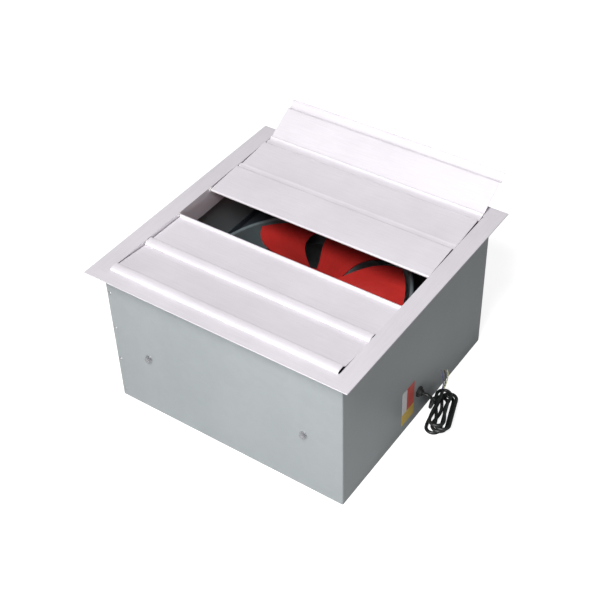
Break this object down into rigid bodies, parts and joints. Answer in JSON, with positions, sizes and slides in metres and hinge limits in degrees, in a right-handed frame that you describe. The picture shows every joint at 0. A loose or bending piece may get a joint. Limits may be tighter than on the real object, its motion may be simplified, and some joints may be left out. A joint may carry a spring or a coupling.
{
  "type": "box wall axial fan",
  "caption": "Square box axial fan with a gravity shutter on its outlet flange, a swept-blade impeller in a rolled ring, a motor on cross brackets and a mains cord.",
  "frame": {"origin": "centre of the inlet face, level with the four mounting holes in the inlet flange", "axes": "+Z along the air flow from inlet to outlet, +X along the shutter blades towards the cord side, +Y from the front side to the back side"},
  "size_m": [0.5467, 0.5454, 0.3284],
  "materials": {
    "aluminium_frame": "satin",
    "aluminium_blade": "satin",
    "galvanised_sheet": "satin",
    "zinc_plate": "satin",
    "black_paint": "satin",
    "steel": "satin",
    "motor_casting": "cast",
    "copper_winding": "lacquered",
    "red_impeller": "semi-gloss",
    "white_nylon": "matte",
    "black_plastic": "matte",
    "black_rubber": "matte",
    "core_yellow_green": "satin",
    "core_blue": "satin",
    "core_brown": "satin",
    "plate_white": "satin"
  },
  "bodies": {
    "casing": {"frame_front": "aluminium_frame", "frame_back": "aluminium_frame", "frame_left": "aluminium_frame", "frame_right": "aluminium_frame", "frame_corner_cleats": "zinc_plate", "pivot_bushes": "white_nylon", "casing_front_right": "galvanised_sheet", "casing_back_left": "galvanised_sheet", "casing_rivets": "steel", "orifice_plate": "galvanised_sheet", "fan_ring": "galvanised_sheet", "ring_rivets": "steel", "plate_screws": "steel", "bracket_right": "black_paint", "bracket_left": "black_paint", "bracket_bolts": "steel", "bracket_nuts": "steel", "motor_plate": "black_paint", "motor_plate_screws": "steel", "motor_bolts": "steel", "motor_front_cover": "motor_casting", "motor_rear_cover": "motor_casting", "motor_housing": "motor_casting", "motor_stator": "copper_winding", "motor_bearings": "steel", "terminal_box": "black_plastic", "terminal_cover": "black_plastic", "terminal_block": "white_nylon", "motor_conduit": "zinc_plate", "cable_gland": "black_plastic", "gland_nut": "black_plastic", "rear_guard": "steel", "guard_clips": "zinc_plate", "guard_screws": "steel", "rating_plate": "plate_white", "cord": "black_rubber", "cord_hank": "black_rubber", "core_yellow_green": "core_yellow_green", "core_blue": "core_blue", "core_brown": "core_brown"},
    "impeller": {"motor_rotor": "steel", "motor_shaft": "steel", "impeller": "red_impeller", "hub_insert": "zinc_plate", "hub_nut": "steel"},
    "shutter_1": {"blade_1": "aluminium_blade", "blade_1_pins": "steel"},
    "shutter_2": {"blade_2": "aluminium_blade", "blade_2_pins": "steel"},
    "shutter_3": {"blade_3": "aluminium_blade", "blade_3_pins": "steel"},
    "shutter_4": {"blade_4": "aluminium_blade", "blade_4_pins": "steel"},
    "shutter_5": {"blade_5": "aluminium_blade", "blade_5_pins": "steel"}
  },
  "joints": [
    {"name": "impeller_spin", "type": "hinge", "parent": "casing", "child": "impeller", "pos_m": [0, 0, 0.18], "axis": [0, 0, -1], "continuous": true},
    {"name": "shutter_1_hinge", "type": "hinge", "parent": "casing", "child": "shutter_1", "pos_m": [0, -0.1302, 0.2784], "axis": [-1, 0, 0], "range_deg": [0, 64.7]},
    {"name": "shutter_2_hinge", "type": "hinge", "parent": "casing", "child": "shutter_2", "pos_m": [0, -0.0439, 0.2784], "axis": [-1, 0, 0], "range_deg": [0, 68.65]},
    {"name": "shutter_3_hinge", "type": "hinge", "parent": "casing", "child": "shutter_3", "pos_m": [0, 0.0424, 0.2784], "axis": [-1, 0, 0], "range_deg": [-174.6, 0]},
    {"name": "shutter_4_hinge", "type": "hinge", "parent": "casing", "child": "shutter_4", "pos_m": [0, 0.1287, 0.2784], "axis": [-1, 0, 0], "range_deg": [-173.85, 0]},
    {"name": "shutter_5_hinge", "type": "hinge", "parent": "casing", "child": "shutter_5", "pos_m": [0, 0.215, 0.2784], "axis": [-1, 0, 0], "range_deg": [-148.05, 0]}
  ],
  "couplings": [
    {"joint": "shutter_2_hinge", "follows": "shutter_1_hinge", "ratio": 1.0603},
    {"joint": "shutter_4_hinge", "follows": "shutter_3_hinge", "ratio": 0.99542},
    {"joint": "shutter_5_hinge", "follows": "shutter_3_hinge", "ratio": 0.84765}
  ]
}
